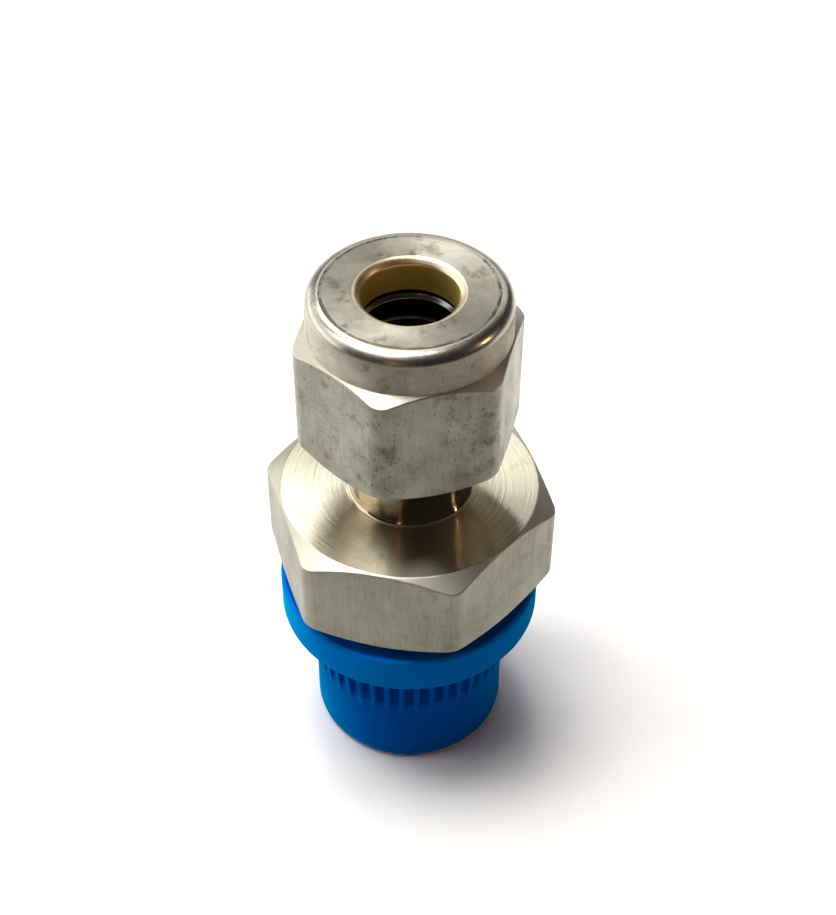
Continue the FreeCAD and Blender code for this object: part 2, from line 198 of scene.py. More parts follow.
def carry(corners: list[Corner], angles: np.ndarray, closed: bool = True, steps: int = 5) -> np.ndarray:
    """Rows of points of an outline with softened corners, at every angle.

    Each corner becomes an arc that touches both sides: the blend of the two touching points and
    the corner by (1-t)^2, t^2 and 2wt(1-t), divided by their sum, where w is the sine of half the
    angle between the sides. One more point on each side, just past the touching point, keeps the
    shading of the side flat.

    Args:
        corners: the outline, with the solid on its left as radius and height are drawn.
        angles: the angle of each column.
        closed: whether the outline ends where it starts. If not, its two ends lie on the axis.
        steps: number of points on each softened corner.

    Returns:
        An array of rows by angles by (radius, height), in millimetres.
    """
    sections = [np.stack(np.broadcast_arrays(corner.radius, corner.height), -1) for corner in corners]
    points = np.array([np.broadcast_to(section, (len(angles), 2)) for section in sections])
    before, after = np.roll(points, 1, 0) - points, np.roll(points, -1, 0) - points
    back, ahead = (np.linalg.norm(side, axis=-1, keepdims=True) for side in (before, after))
    before, after = before / np.maximum(back, TINY), after / np.maximum(ahead, TINY)
    opening = np.arccos(np.clip(np.sum(before * after, -1, keepdims=True), -1, 1))
    blend = np.linspace(0, 1, steps)[:, None, None]
    rows: list[np.ndarray] = []
    for number, corner in enumerate(corners):
        here = points[number]
        if not closed and number in (0, len(corners) - 1):
            rows.append(here[None])
        else:
            reach = np.minimum(corner.soft, LONGEST_SOFT * np.minimum(back[number], ahead[number]))
            past = GUARD * reach
            start, end = here + before[number] * reach, here + after[number] * reach
            pull = 2 * np.sin(opening[number] / 2) * blend * (1 - blend)
            curve = (1 - blend) ** 2 * start + pull * here + blend**2 * end
            curve = curve / ((1 - blend) ** 2 + pull + blend**2)
            rows += [(here + before[number] * past)[None], curve, (here + after[number] * past)[None]]
        if corner.rows:
            following = corners[(number + 1) % len(corners)]
            target = points[(number + 1) % len(corners)]
            first = here + after[number] * GUARD * corner.soft
            last = target - after[number] * GUARD * following.soft
            share = (np.arange(corner.rows) + 1)[:, None, None] / (corner.rows + 1)
            rows.append(first + (last - first) * share)
    return np.concatenate(rows)


def lathe(name: str, rows: np.ndarray, angles: np.ndarray, closed: bool = True) -> bpy.types.Object:
    """Make a mesh from carried rows: x and y are the radius times the angle's cosine and sine.

    Args:
        name: the piece's name.
        rows: rows of points by angles by (radius, height), in millimetres.
        angles: the angle of each column.
        closed: whether the last row joins the first. If not, both lie on the axis, and each
            becomes one point with a fan of triangles.

    Returns:
        The new object, shaded smooth, with its place in its mesh.
    """
    radius, height = rows[..., 0] * MM, rows[..., 1] * MM
    points = np.stack([radius * np.cos(angles), radius * np.sin(angles), height], -1)
    poles = points[[0, -1], 0]
    if not closed:
        points = points[1:-1]
    count, columns = points.shape[:2]
    numbers = np.arange(count * columns).reshape(count, columns)
    low, high = numbers, np.roll(numbers, -1, 0)
    if not closed:
        low, high = numbers[:-1], numbers[1:]
    quads = np.stack([low, np.roll(low, -1, 1), np.roll(high, -1, 1), high], -1).reshape(-1, 4)
    points, faces = points.reshape(-1, 3), quads.tolist()
    if not closed:
        foot, last, pole = numbers[0], numbers[-1], np.full(columns, len(points))
        faces += np.stack([pole, np.roll(foot, -1), foot], -1).tolist()
        faces += np.stack([last, np.roll(last, -1), pole + 1], -1).tolist()
        points = np.concatenate([points, poles])
    mesh = bpy.data.meshes.new(name)
    mesh.from_pydata(points.tolist(), [], faces)
    mesh.polygons.foreach_set("use_smooth", np.ones(len(mesh.polygons), bool))
    mesh.update()
    piece = bpy.data.objects.new(name, mesh)
    bpy.context.scene.collection.objects.link(piece)
    return piece


def face_places(mesh: bpy.types.Mesh) -> tuple[np.ndarray, np.ndarray, np.ndarray]:
    """Where the faces of a mesh lie.

    Args:
        mesh: a mesh in metres.

    Returns:
        The distance from the axis and the height of each face's middle, in millimetres, and the
        faces' normals.
    """
    count = len(mesh.polygons)
    centres, normals = np.empty(count * 3), np.empty(count * 3)
    mesh.polygons.foreach_get("center", centres)
    mesh.polygons.foreach_get("normal", normals)
    centres = centres.reshape(-1, 3) / MM
    return np.hypot(centres[:, 0], centres[:, 1]), centres[:, 2], normals.reshape(-1, 3)


def paint(piece: bpy.types.Object, finishes: list["Finish"], zones: np.ndarray | None = None) -> None:
    """Give a piece its finishes.

    Args:
        piece: the object to dress.
        finishes: its finishes, in the order of their slots.
        zones: the slot of each face, or nothing where one finish covers the piece.
    """
    for finish in finishes:
        piece.data.materials.append(finish.material())
    if zones is not None:
        piece.data.polygons.foreach_set("material_index", zones.astype(np.int32))
        piece.data.update()


# Shader nodes


class Wire:
    """An output socket of a node, on which Python's own signs add Math nodes."""

    def __init__(self, shader: "Shader", socket: bpy.types.NodeSocket) -> None:
        """Keep the socket and the shader that it belongs to."""
        self.shader = shader
        self.socket = socket

    def _math(self, operation: str, *operands: "Wire | float") -> "Wire":
        """Add a Math node with these operands."""
        return self.shader.add("ShaderNodeMath", {"operation": operation}, dict(enumerate(operands)))

    def __add__(self, other: "Wire | float") -> "Wire":
        """Sum of both."""
        return self._math("ADD", self, other)

    def __radd__(self, other: float) -> "Wire":
        """Sum of both."""
        return self._math("ADD", other, self)

    def __sub__(self, other: "Wire | float") -> "Wire":
        """This less the other."""
        return self._math("SUBTRACT", self, other)

    def __rsub__(self, other: float) -> "Wire":
        """The other less this."""
        return self._math("SUBTRACT", other, self)

    def __mul__(self, other: "Wire | float") -> "Wire":
        """Product of both."""
        return self._math("MULTIPLY", self, other)

    def __rmul__(self, other: float) -> "Wire":
        """Product of both."""
        return self._math("MULTIPLY", other, self)

    def __abs__(self) -> "Wire":
        """This without its sign."""
        return self._math("ABSOLUTE", self)

    def root(self) -> "Wire":
        """Square root."""
        return self._math("SQRT", self)

    def rise(self, low: float, high: float) -> "Wire":
        """Smooth step from 0 where this is low to 1 where it is high."""
        ends = {"From Min": low, "From Max": high}
        return self.shader.add("ShaderNodeMapRange", {"interpolation_type": "SMOOTHSTEP"}, {0: self, **ends})


class Shader:
    """The node tree of a material or a world, with one method that adds any node."""

    def __init__(self, owner: bpy.types.Material | bpy.types.World) -> None:
        """Empty the owner's node tree and take it over.

        Args:
            owner: the material or world whose tree this is.
        """
        self.owner = owner
        owner.use_nodes = True
        self.tree = owner.node_tree
        self.tree.nodes.clear()

    def add(
        self,
        kind: str,
        settings: dict[str, object] | None = None,
        values: dict[int | str, object] | None = None,
        output: int | str = 0,
    ) -> Wire:
        """Add one node.

        Args:
            kind: the node's type.
            settings: its own settings, such as a Math node's operation, set first.
            values: numbers, colours or wires for its input sockets.
            output: the output socket to return.

        Returns:
            The wire that leaves the node.
        """
        node = self.tree.nodes.new(kind)
        for name, value in (settings or {}).items():
            setattr(node, name, value)
        for key, value in (values or {}).items():
            if isinstance(value, Wire):
                self.tree.links.new(value.socket, node.inputs[key])
            else:
                node.inputs[key].default_value = value
        return Wire(self, node.outputs[output])

    def place(self) -> Wire:
        """Object coordinates, in metres."""
        return self.add("ShaderNodeTexCoord", output="Object")

    def parts(self, vector: Wire) -> list[Wire]:
        """The x, y and z of a vector."""
        node = self.add("ShaderNodeSeparateXYZ", values={0: vector}).socket.node
        return [Wire(self, socket) for socket in node.outputs]

    def off_axis(self, vector: Wire) -> Wire:
        """Distance of a place from the upright axis."""
        across, deep, _ = self.parts(vector)
        return (across * across + deep * deep).root()

    def stretched(self, vector: Wire, scale: tuple[float, float, float]) -> Wire:
        """A vector with its parts multiplied by these numbers."""
        return self.add("ShaderNodeVectorMath", {"operation": "MULTIPLY"}, {0: vector, 1: scale})

    def noise(self, vector: Wire, scale: float, detail: float = 3.0, rough: float = 0.55) -> Wire:
        """Cloudy noise from 0 to 1 around a half."""
        values = {"Vector": vector, "Scale": scale, "Detail": detail, "Roughness": rough}
        return self.add("ShaderNodeTexNoise", None, values)

    def line_noise(self, along: Wire, scale: float, detail: float = 3.0) -> Wire:
        """Noise that changes along one number only."""
        values = {"W": along, "Scale": scale, "Detail": detail, "Roughness": 0.6}
        return self.add("ShaderNodeTexNoise", {"noise_dimensions": "1D"}, values)

    def mixed(self, factor: "Wire | float", first: object, second: object) -> Wire:
        """A colour between two colours."""
        return self.add(
            "ShaderNodeMix", {"data_type": "RGBA"}, {0: factor, 6: first, 7: second}, output=2
        )

    def bumped(self, height: Wire, distance: float) -> Wire:
        """A normal bent by a height. The distance is the height of a full step, in metres."""
        values = {"Height": height, "Distance": distance, "Strength": 1.0}
        return self.add("ShaderNodeBump", None, values)

    def dot(self, vector: Wire, direction: tuple[float, float, float]) -> Wire:
        """How far a vector reaches in a direction."""
        settings = {"operation": "DOT_PRODUCT"}
        return self.add("ShaderNodeVectorMath", settings, {0: vector, 1: direction}, "Value")

    def rays(self) -> tuple[Wire, Wire]:
        """What kind of ray meets the surface.

        Returns:
            A wire that is 1 for a ray from the camera, and one that is 1 for a ray from a mirror or
            through glass.
        """
        found = self.add("ShaderNodeLightPath").socket.node.outputs
        eye, glossy, through = (
            Wire(self, found[name]) for name in ("Is Camera Ray", "Is Glossy Ray", "Is Transmission Ray")
        )
        return eye, glossy + through

    def finish(self, values: dict[str, object]) -> bpy.types.Material:
        """Add the surface shader with these values and return the material."""
        self.end_with(self.add("ShaderNodeBsdfPrincipled", None, values), "ShaderNodeOutputMaterial")
        return self.owner

    def end_with(self, surface: Wire, kind: str) -> None:
        """Join a surface to an output node of this kind."""
        output = self.tree.nodes.new(kind)
        self.tree.links.new(surface.socket, output.inputs["Surface"])


Colour = tuple[float, float, float, float]
WHITE: Colour = (1.0, 1.0, 1.0, 1)


class Finish:
    """A finish, whose material is made once and shared."""

    name: str

    def material(self) -> bpy.types.Material:
        """The material of this finish, made when it is first asked for."""
        found = bpy.data.materials.get(self.name)
        return found or self.build()

    def build(self) -> bpy.types.Material:
        """Make the material."""
        raise NotImplementedError


class Grain(Enum):
    """Which way a tool left its marks."""

    TURNED = "rings about the axis"
    DRAWN = "lines along the bar"


@dataclass(frozen=True)
class Steel(Finish):
    """Stainless steel: tool marks, clouds, stains and pits over a plain metal.

    Marks are the depth of the tool marks in metres. Streak, cloud and pits say how much the tool
    marks, the clouds and the small dark pits change the tone, and wander says how much the clouds
    change the roughness. Crease is the radius in metres of a thin dark ring of painted shade along a
    crease of an end face, or 0.
    """

    name: str
    colour: Colour = (0.54, 0.52, 0.41, 1)
    stain: Colour = (0.30, 0.28, 0.20, 1)
    roughness: float = 0.32
    anisotropy: float = 0.0
    grain: Grain = Grain.TURNED
    marks: float = 1.0e-6
    streak: float = 0.5
    cloud: float = 0.6
    pits: float = 0.2
    wander: float = 0.10
    crease: float = 0.0

    def _grain(self, shader: Shader, place: Wire) -> Wire:
        """Height of the tool marks. Rings change with the distance from the axis and fade in and
        out round it, and lines change across the bar and last along it.

        Args:
            shader: the material's nodes.
            place: object coordinates.

        Returns:
            A number from 0 to 1.
        """
        if self.grain is Grain.DRAWN:
            fine = shader.noise(shader.stretched(place, (1.0, 1.0, 0.10)), 5600.0, 3.0, 0.7)
            wide = shader.noise(shader.stretched(place, (1.0, 1.0, 0.06)), 1500.0, 2.0, 0.5)
            return fine * 0.65 + wide * 0.35
        rings = shader.line_noise(shader.off_axis(place) + shader.parts(place)[2], 7600.0, 4.0)
        lasting = shader.noise(place, 700.0, 2.0).rise(0.36, 0.62)
        return (rings - 0.5) * (lasting * 0.8 + 0.2) + 0.5

    def _painted_crease(self, shader: Shader, place: Wire) -> Wire | float:
        """Painted shade: a thin dark ring along the crease of the end face, broken where the noise is low.

        Args:
            shader: the material's nodes.
            place: object coordinates.

        Returns:
            How much darker the ring makes the face.
        """
        if self.crease == 0.0:
            return 0.0
        wavy = shader.off_axis(place) + (shader.noise(place, 500.0, 2.0) - 0.5) * 3.0e-4
        off = abs(wavy - self.crease)
        broken = shader.noise(place, 260.0, 5.0, 0.75).rise(0.44, 0.54)
        return (1 - off.rise(6.0e-5, 2.4e-4)) * (broken * 1.6 + 0.3)

    def build(self) -> bpy.types.Material:
        """Make the material.

        Returns:
            The new material.
        """
        shader = Shader(bpy.data.materials.new(self.name))
        place = shader.place()
        grain = self._grain(shader, place)
        clouds = shader.noise(place, 230.0, 6.0, 0.62)
        blots = shader.noise(place, 620.0, 4.0, 0.62).rise(0.54, 0.70)
        pits = shader.noise(shader.stretched(place, (1.0, 1.0, 0.55)), 5200.0, 2.0, 0.6).rise(0.60, 0.72)
        dark = (grain - 0.5) * self.streak + (clouds - 0.5) * self.cloud * 2 + blots * self.cloud * 0.5
        tone = dark + pits * self.pits + self._painted_crease(shader, place) + 0.3
        rough = (clouds - 0.5) * self.wander * 2 + (grain - 0.5) * self.wander + self.roughness
        return shader.finish({
            "Base Color": shader.mixed(tone, self.colour, self.stain),
            "Metallic": 1.0,
            "Roughness": rough,
            "Anisotropic": self.anisotropy,
            "Anisotropic Rotation": 0.25,
            "Normal": shader.bumped(grain, self.marks),
        })


@dataclass(frozen=True)
class SoftPlastic(Finish):
    """Moulded polyethylene: a saturated colour with a waxy skin and slight flow marks."""

    name: str
    colour: Colour = (0.0, 0.11, 0.60, 1)
    deep: Colour = (0.0, 0.075, 0.50, 1)
    roughness: float = 0.36

    def build(self) -> bpy.types.Material:
        """Make the material.

        Returns:
            The new material.
        """
        shader = Shader(bpy.data.materials.new(self.name))
        place = shader.place()
        flow = shader.noise(shader.stretched(place, (1.0, 1.0, 0.5)), 180.0, 4.0, 0.6)
        skin = shader.noise(place, 2600.0, 3.0, 0.6)
        return shader.finish({
            "Base Color": shader.mixed(flow, self.colour, self.deep),
            "Roughness": (flow - 0.5) * 0.12 + (skin - 0.5) * 0.06 + self.roughness,
            "Specular IOR Level": 0.0,
            "Sheen Weight": 0.6,
            "Sheen Roughness": 0.4,
            "Sheen Tint": (0.0, 0.80, 0.80, 1),
            "Subsurface Weight": 0.04,
            "Subsurface Radius": (0.2, 0.5, 1.0),
            "Subsurface Scale": 0.6 * MM,
            "Normal": shader.bumped(skin, 2.0e-6),
        })


FLAT_STEEL = Steel(
    "flat_steel", roughness=0.42, grain=Grain.DRAWN, marks=1.4e-5, streak=1.5, cloud=0.6, pits=0.5,
    wander=0.12,
)
NUT_FLAT = Steel(
    "nut_flat", (0.55, 0.53, 0.43, 1), (0.20, 0.19, 0.13, 1), 0.42, grain=Grain.DRAWN, marks=1.2e-5,
    streak=0.8, cloud=1.1, pits=0.6, wander=0.16,
)
FACE_STEEL = Steel(
    "face_steel", (0.74, 0.70, 0.54, 1), (0.24, 0.22, 0.15, 1), 0.23, 1.0, marks=7.0e-6, streak=1.3,
    cloud=0.2, pits=0.0, wander=0.03,
)
NECK_STEEL = Steel(
    "neck_steel", (0.70, 0.58, 0.42, 1), (0.50, 0.38, 0.24, 1), 0.08, 0.8, marks=2.0e-7, pits=0.0,
    wander=0.02,
)
# Its crease is a painted ring of shade where the end face meets the collar's rounding.
COLLAR_TOP = Steel(
    "collar_top", (0.49, 0.465, 0.38, 1), (0.15, 0.13, 0.09, 1), 0.52, 0.7, marks=1.5e-6, cloud=0.95,
    pits=0.15, wander=0.14, crease=6.0 * MM,
)
COLLAR_EDGE = Steel(
    "collar_edge", (0.66, 0.63, 0.52, 1), (0.32, 0.30, 0.22, 1), 0.27, 0.3, marks=5.0e-7, cloud=0.7, pits=0.3,
    wander=0.14,
)
COLLAR_SIDE = Steel(
    "collar_side", (0.83, 0.77, 0.65, 1), (0.34, 0.30, 0.23, 1), 0.70, 0.45, marks=1.5e-6, cloud=0.9,
    pits=0.3, wander=0.14,
)
CHAMFER_STEEL = Steel(
    "chamfer_steel", (0.64, 0.61, 0.49, 1), (0.42, 0.39, 0.30, 1), 0.42, 0.6, marks=1.0e-6, cloud=0.2,
    pits=0.0, wander=0.03,
)
# Painted shade: a darker copy of the steel stands in for the shade under the nut, on its lower end.
SHADED_UNDER_STEEL = Steel(
    "shaded_under_steel", (0.30, 0.27, 0.22, 1), (0.20, 0.17, 0.13, 1), 0.34, 0.6, marks=1.0e-6, cloud=0.4, pits=0.0,
    wander=0.05,
)
BORE_RING = Steel(
    "bore_ring", (0.98, 0.84, 0.62, 1), (0.62, 0.40, 0.18, 1), 0.36, marks=5.0e-7, streak=0.2, pits=0.0,
    wander=0.05, cloud=1.0,
)
GOLDEN_BORE = Steel(
    "golden_bore", (0.84, 0.68, 0.20, 1), (0.62, 0.48, 0.10, 1), 0.55, marks=5.0e-7, pits=0.0, wander=0.05,
    cloud=0.3,
)
RING_STEEL = Steel(
    "ring_steel", (0.50, 0.46, 0.43, 1), (0.36, 0.32, 0.29, 1), 0.16, marks=1.0e-7, cloud=0.2, pits=0.0,
    wander=0.01,
)
# Painted shade: a darker copy of the steel stands in for the shade inside the bores, hollows and thread, and
# on the ferrules where they sit inside the nut.
SHADED_INNER_STEEL = Steel(
    "shaded_inner_steel", (0.20, 0.16, 0.13, 1), (0.12, 0.09, 0.07, 1), 0.14, marks=2.0e-7, cloud=0.2, pits=0.0,
    wander=0.02,
)
BLUE_CAP = SoftPlastic("blue_cap")
# Painted light: the flange's edge gets a lighter copy of the cap's plastic, where it catches the light.
LIT_RIM_BLUE = SoftPlastic("lit_rim_blue", (0.0, 0.22, 0.82, 1), (0.0, 0.17, 0.72, 1), 0.34)
# Painted shade: the gaps between the ribs under the flange get a darker copy of the plastic, for the flange's
# shadow.
POCKET_SHADE_BLUE = SoftPlastic("pocket_shade_blue", (0.0, 0.06, 0.40, 1), (0.0, 0.045, 0.33, 1), 0.45)


# Pieces


@dataclass
class FittingBody:
    """The body: pipe thread end, hexagon, neck and tube end, with its bores."""

    foot: float
    pipe_crest: float = 6.5785
    pipe_length: float = 14.7
    pipe_chamfer: float = 1.0
    relief: float = 5.6485
    relief_width: float = 2.2
    relief_fillet: float = 0.2
    hex_height: float = 7.65
    face_step: float = 0.125
    chamfer_slope: float = math.tan(math.radians(30))
    neck: float = 4.37
    neck_length: float = 5.75
    neck_fillet: float = 0.3
    tube_crest: float = 5.555
    tube_length: float = 6.6
    tube_chamfer: float = 0.55
    mouth: float = 4.15
    mouth_slope: float = math.tan(math.radians(20))
    socket: float = 3.2
    socket_depth: float = 9.9
    flow: float = 2.4
    flow_chamfer: float = 0.4
    hexagon: Hexagon = field(default_factory=lambda: Hexagon(19.05, 1.3))
    pipe_thread: Thread = field(default_factory=lambda: Thread(6.5785, 0.856, 1.337, 0.16))
    tube_thread: Thread = field(default_factory=lambda: Thread(5.555, 0.779, 1.27, 0.14))

    @property
    def hex_bottom(self) -> float:
        """Height of the hexagon's lower face."""
        return self.foot + self.pipe_length

    @property
    def hex_top(self) -> float:
        """Height of the hexagon's upper face."""
        return self.hex_bottom + self.hex_height

    @property
    def neck_top(self) -> float:
        """Height at which the tube end starts."""
        return self.hex_top + self.neck_length

    @property
    def tube_end(self) -> float:
        """Height of the tube end's face."""
        return self.neck_top + self.tube_length

    def outline(self, angles: np.ndarray) -> list[Corner]:
        """The section at every angle. The hexagon's corners end where its radius meets the
        chamfer's cone, which drops by the slope for each unit of radius past the end face.

        Args:
            angles: angle of each column of points, in radians.

        Returns:
            The corners, from the foot up the outside and down the bore.
        """
        edge = self.hexagon.radius(angles)
        face = self.hexagon.apothem - self.face_step
        drop = (edge - face) * self.chamfer_slope
        shoulder = self.hex_bottom - self.relief_width - (self.pipe_crest - self.relief)
        mouth_bottom = self.tube_end - (self.mouth - self.socket) / self.mouth_slope
        stop = self.tube_end - self.socket_depth
        return [
            Corner(self.flow + self.flow_chamfer, self.foot),
            Corner(self.pipe_crest - self.pipe_chamfer, self.foot, rows=10),
            Corner(self.pipe_crest, self.foot + self.pipe_chamfer, rows=150),
            Corner(self.pipe_crest, shoulder, rows=8),
            Corner(self.relief, self.hex_bottom - self.relief_width, soft=self.relief_fillet),
            Corner(self.relief, self.hex_bottom, soft=self.relief_fillet),
            Corner(face, self.hex_bottom, soft=0.08),
            Corner(edge, self.hex_bottom + drop, soft=0.10),
            Corner(edge, self.hex_top - drop, soft=0.10),
            Corner(face, self.hex_top, soft=0.08, rows=6),
            Corner(self.neck, self.hex_top, soft=self.neck_fillet),
            Corner(self.neck, self.neck_top),
            Corner(self.tube_crest - self.tube_chamfer, self.neck_top, rows=6),
            Corner(self.tube_crest, self.neck_top + self.tube_chamfer, rows=84),
            Corner(self.tube_crest, self.tube_end - self.tube_chamfer, rows=6),
            Corner(self.tube_crest - self.tube_chamfer, self.tube_end),
            Corner(self.mouth, self.tube_end),
            Corner(self.socket, mouth_bottom),
            Corner(self.socket, stop),
            Corner(self.flow, stop),
            Corner(self.flow, self.foot + self.flow_chamfer),
        ]

    def build(self) -> bpy.types.Object:
        """Make the body's surface and dress it.

        Returns:
            The finished piece.
        """
        angles = self.hexagon.angles()
        rows = carry(self.outline(angles), angles)
        heights = rows[..., 1]
        below = heights < self.hex_bottom - self.relief_width
        above = heights > self.neck_top - self.tube_thread.pitch / 4
        pipe = np.where(below, self.pipe_thread.radius(angles, heights), np.inf)
        tube = np.where(above, self.tube_thread.radius(angles, heights), np.inf)
        rows[..., 0] = np.minimum(rows[..., 0], np.minimum(pipe, tube))
        piece = lathe("turned_body", rows, angles)
        radius, height, normal = face_places(piece.data)
        on_flat = (radius > self.hexagon.apothem - CLOSE) & (np.abs(normal[:, 2]) < UPRIGHT)
        above_face = (height > self.hex_top + HAIR) & (height < self.neck_top)
        on_neck = (radius < self.neck + self.neck_fillet) & above_face
        # The bores and the mouth get painted shade.
        inside = (radius < self.mouth + NEAR) & ~on_neck & (np.abs(normal[:, 2]) < LEVEL)
        on_cone = (radius > self.hexagon.apothem - self.face_step) & (height > self.hex_bottom)
        zones = np.select([on_flat, on_neck, inside, on_cone], [1, 2, 3, 4])
        paint(piece, [FACE_STEEL, FLAT_STEEL, NECK_STEEL, SHADED_INNER_STEEL, CHAMFER_STEEL], zones)
        return piece


@dataclass
class Nut:
    """The nut: hexagon, collar, tube bore, ferrule shoulder and thread.

    Top margin, edge width, edge depth and underside say how far the finishes of the end face, of
    the collar's edge and of the nut's lower end reach. The lower end's finish is painted shade, a
    darker copy of the steel.
    """

    foot: float
    top: float
    collar_height: float = 3.0
    collar: float = 7.0
    collar_edge: float = 0.95
    top_margin: float = 0.9
    edge_width: float = 1.0
    edge_depth: float = 0.85
    underside: float = 1.0
    face_step: float = 0.145
    chamfer_slope: float = math.tan(math.radians(30))
    bore: float = 3.275
    bore_chamfer: float = 0.38
    land: float = 2.48
    cavity: float = 4.6
    shoulder_slope: float = 1.0
    cavity_depth: float = 0.18
    thread_minor: float = 4.868
    thread_gap: float = 0.05
    lead_in: float = 5.95
    hexagon: Hexagon = field(default_factory=lambda: Hexagon(14.29, 1.5, NUT_CLOCKING))
    thread: Thread = field(default_factory=lambda: Thread(5.555, 0.779, 1.27, 0.14))

    @property
    def shoulder_end(self) -> float:
        """Height at which the shoulder on the back ferrule meets the ferrules' cavity."""
        return self.top - self.land - (self.cavity - self.bore) / self.shoulder_slope

    @property
    def thread_top(self) -> float:
        """Height at which the thread ends, under the ferrules' cavity."""
        return self.shoulder_end - self.cavity_depth

    def outline(self, angles: np.ndarray) -> list[Corner]:
        """The section at every angle, with chamfers as on the body's hexagon.

        Args:
            angles: angle of each column of points, in radians.

        Returns:
            The corners, from the foot up the outside and down the bore.
        """
        edge = self.hexagon.radius(angles)
        face = self.hexagon.apothem - self.face_step
        drop = (edge - face) * self.chamfer_slope
        hex_top = self.top - self.collar_height
        return [
            Corner(self.lead_in, self.foot),
            Corner(face, self.foot, soft=0.08),
            Corner(edge, self.foot + drop, soft=0.10),
            Corner(edge, hex_top - drop, soft=0.10),
            Corner(self.collar, hex_top, soft=0.06),
            Corner(self.collar, self.top, soft=self.collar_edge),
            Corner(self.bore + self.bore_chamfer, self.top, soft=0.22),
            Corner(self.bore, self.top - self.bore_chamfer, soft=0.15),
            Corner(self.bore, self.top - self.land),
            Corner(self.cavity, self.shoulder_end),
            Corner(self.cavity, self.thread_top),
            Corner(self.thread_minor, self.thread_top, rows=100),
            Corner(self.thread_minor, self.foot + self.lead_in - self.thread_minor, rows=8),
        ]

    def build(self) -> bpy.types.Object:
        """Make the nut's surface and dress it.

        Returns:
            The finished piece.
        """
        angles = self.hexagon.angles()
        rows = carry(self.outline(angles), angles, steps=9)
        heights = rows[..., 1]
        groove = self.thread.radius(angles, heights) + self.thread_gap
        threaded = heights < self.thread_top - NEAR
        rows[..., 0] = np.maximum(rows[..., 0], np.where(threaded, groove, 0))
        piece = lathe("collar_nut", rows, angles)
        radius, height, normal = face_places(piece.data)
        on_flat = (radius > self.hexagon.apothem - CLOSE) & (np.abs(normal[:, 2]) < UPRIGHT)
        by_bore = radius < self.bore + self.bore_chamfer + NEAR
        in_bore = by_bore & (height > self.top - self.land - NEAR)
        # The hollows and the thread get painted shade.
        inside = (radius < self.lead_in) & (height < self.top - self.land)
        on_ring = in_bore & (height > self.top - self.bore_chamfer - NEAR)
        end_face = (normal[:, 2] > LEVEL) & (height > self.top - CLOSE)
        on_top = (radius < self.collar - self.top_margin) & end_face
        on_edge = (radius > self.collar - self.edge_width) & (height > self.top - self.edge_depth)
        on_side = height > self.top - self.collar_height
        # Painted shade on the nut's lower end.
        under = height < self.foot + self.underside
        zones = np.select(
            [on_flat, on_ring, in_bore, inside, on_top, on_edge, on_side, under], [1, 7, 2, 5, 3, 4, 0, 8], 6
        )
        paint(
            piece,
            [
                COLLAR_SIDE,
                NUT_FLAT,
                GOLDEN_BORE,
                COLLAR_TOP,
                COLLAR_EDGE,
                SHADED_INNER_STEEL,
                CHAMFER_STEEL,
                BORE_RING,
                SHADED_UNDER_STEEL,
            ],
            zones,
        )
        return piece


@dataclass
class FrontFerrule:
    """The front ferrule: a cone for the body's mouth and a recess for the back ferrule."""

    foot: float
    top: float
    bore: float = 3.25
    nose: float = 3.4
    outer: float = 4.3
    rim: float = 0.44
    recess: float = 3.95

    def build(self) -> bpy.types.Object:
        """Make the ferrule's surface and dress it.

        Returns:
            The finished piece.
        """
        angles = round_angles(RING_COLUMNS)
        rows = carry(
            [
                Corner(self.bore, self.foot, soft=0.03),
                Corner(self.nose, self.foot, soft=0.03),
                Corner(self.outer, self.top - self.rim, soft=0.05),
                Corner(self.outer, self.top, soft=0.04),
                Corner(self.recess, self.top, soft=0.04),
                Corner(self.bore, self.top - self.recess + self.bore, soft=0.04),
            ],
            angles,
        )
        piece = lathe("front_ring", rows, angles)
        radius, _, _ = face_places(piece.data)
        # The bore gets painted shade.
        paint(piece, [RING_STEEL, SHADED_INNER_STEEL], (radius < self.nose).astype(int))
        return piece


@dataclass
class BackFerrule:
    """The back ferrule: a nose in the recess and a flange under the nut's shoulder."""

    foot: float
    top: float
    bore: float = 3.25
    nose: float = 3.4
    nose_root: float = 4.03
    outer: float = 4.3
    flange: float = 1.15
    bore_chamfer: float = 0.25
    face: float = 3.71

    def build(self) -> bpy.types.Object:
        """Make the ferrule's surface and dress it.

        Returns:
            The finished piece.
        """
        angles = round_angles(RING_COLUMNS)
        rows = carry(
            [
                Corner(self.bore, self.foot, soft=0.03),
                Corner(self.nose, self.foot, soft=0.03),
                Corner(self.nose_root, self.top - self.flange, soft=0.03),
                Corner(self.outer, self.top - self.flange, soft=0.04),
                Corner(self.outer, self.top - self.outer + self.face, soft=0.04),
                Corner(self.face, self.top, soft=0.03),
                Corner(self.bore + self.bore_chamfer, self.top, soft=0.03),
                Corner(self.bore, self.top - self.bore_chamfer, soft=0.03),
            ],
            angles,
        )
        piece = lathe("back_ring", rows, angles)
        radius, _, normal = face_places(piece.data)
        # All but the upward chamfer gets painted shade.
        on_chamfer = (radius < self.bore + self.bore_chamfer) & (normal[:, 2] > 0.3)
        paint(piece, [SHADED_INNER_STEEL, RING_STEEL], on_chamfer.astype(int))
        return piece


